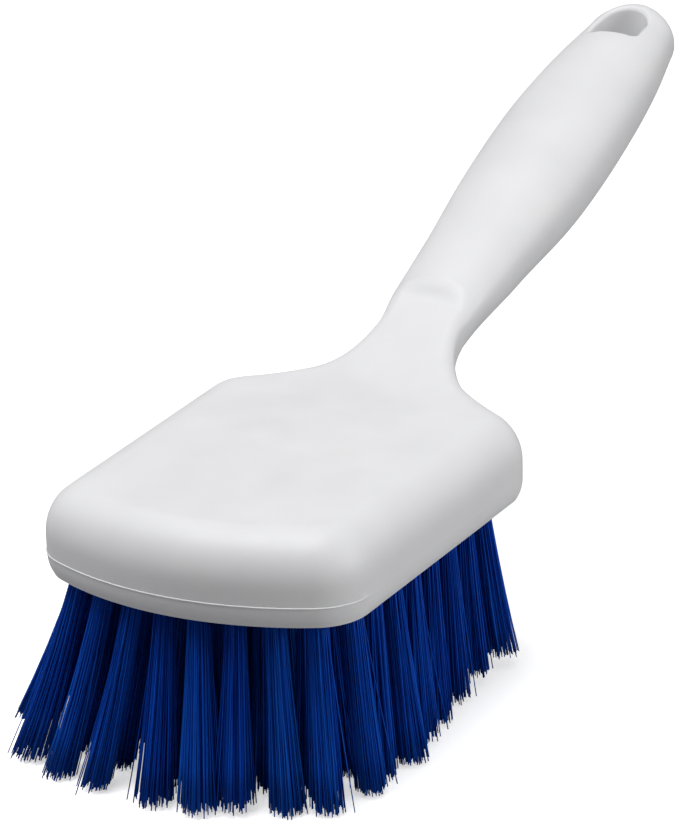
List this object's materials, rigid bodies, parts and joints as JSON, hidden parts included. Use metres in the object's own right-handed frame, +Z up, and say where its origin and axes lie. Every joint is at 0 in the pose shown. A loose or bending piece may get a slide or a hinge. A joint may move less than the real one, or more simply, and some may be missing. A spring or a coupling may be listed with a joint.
{
  "type": "hand brush",
  "caption": "Short-handled hand brush: flat-topped moulded block, rising neck, oval grip with a hanging hole, and flared bristle tufts for scrubbing and sweeping.",
  "frame": {"origin": "on the ground under the middle of the part's box, at the level of the longest bristle tips", "axes": "+Z up, +Y from the front of the block towards the end of the grip, X across; the brush is symmetric about the plane X = 0"},
  "size_m": [0.0986, 0.276, 0.1179],
  "materials": {
    "body_plastic": "satin",
    "bristle_filament": "semi-gloss",
    "anchor_wire": "drawn wire"
  },
  "bodies": {
    "root": {"brush_body": "body_plastic", "bristles_front": "bristle_filament", "bristles_mid_front": "bristle_filament", "bristles_mid_rear": "bristle_filament", "bristles_rear": "bristle_filament", "anchor_1_1": "anchor_wire", "anchor_1_2": "anchor_wire", "anchor_1_3": "anchor_wire", "anchor_1_4": "anchor_wire", "anchor_1_5": "anchor_wire", "anchor_1_6": "anchor_wire", "anchor_1_7": "anchor_wire", "anchor_1_8": "anchor_wire", "anchor_2_1": "anchor_wire", "anchor_2_2": "anchor_wire", "anchor_2_3": "anchor_wire", "anchor_2_4": "anchor_wire", "anchor_2_5": "anchor_wire", "anchor_2_6": "anchor_wire", "anchor_3_1": "anchor_wire", "anchor_3_2": "anchor_wire", "anchor_3_3": "anchor_wire", "anchor_3_4": "anchor_wire", "anchor_3_5": "anchor_wire", "anchor_3_6": "anchor_wire", "anchor_4_1": "anchor_wire", "anchor_4_2": "anchor_wire", "anchor_4_3": "anchor_wire", "anchor_4_4": "anchor_wire", "anchor_4_5": "anchor_wire", "anchor_4_6": "anchor_wire", "anchor_5_1": "anchor_wire", "anchor_5_2": "anchor_wire", "anchor_5_3": "anchor_wire", "anchor_5_4": "anchor_wire", "anchor_5_5": "anchor_wire", "anchor_5_6": "anchor_wire", "anchor_6_1": "anchor_wire", "anchor_6_2": "anchor_wire", "anchor_6_3": "anchor_wire", "anchor_6_4": "anchor_wire", "anchor_6_5": "anchor_wire", "anchor_6_6": "anchor_wire", "anchor_7_1": "anchor_wire", "anchor_7_2": "anchor_wire", "anchor_7_3": "anchor_wire", "anchor_7_4": "anchor_wire", "anchor_7_5": "anchor_wire", "anchor_7_6": "anchor_wire", "anchor_8_1": "anchor_wire", "anchor_8_2": "anchor_wire", "anchor_8_3": "anchor_wire", "anchor_8_4": "anchor_wire", "anchor_8_5": "anchor_wire", "anchor_8_6": "anchor_wire", "anchor_9_1": "anchor_wire", "anchor_9_2": "anchor_wire", "anchor_9_3": "anchor_wire", "anchor_9_4": "anchor_wire", "anchor_9_5": "anchor_wire"}
  },
  "joints": []
}
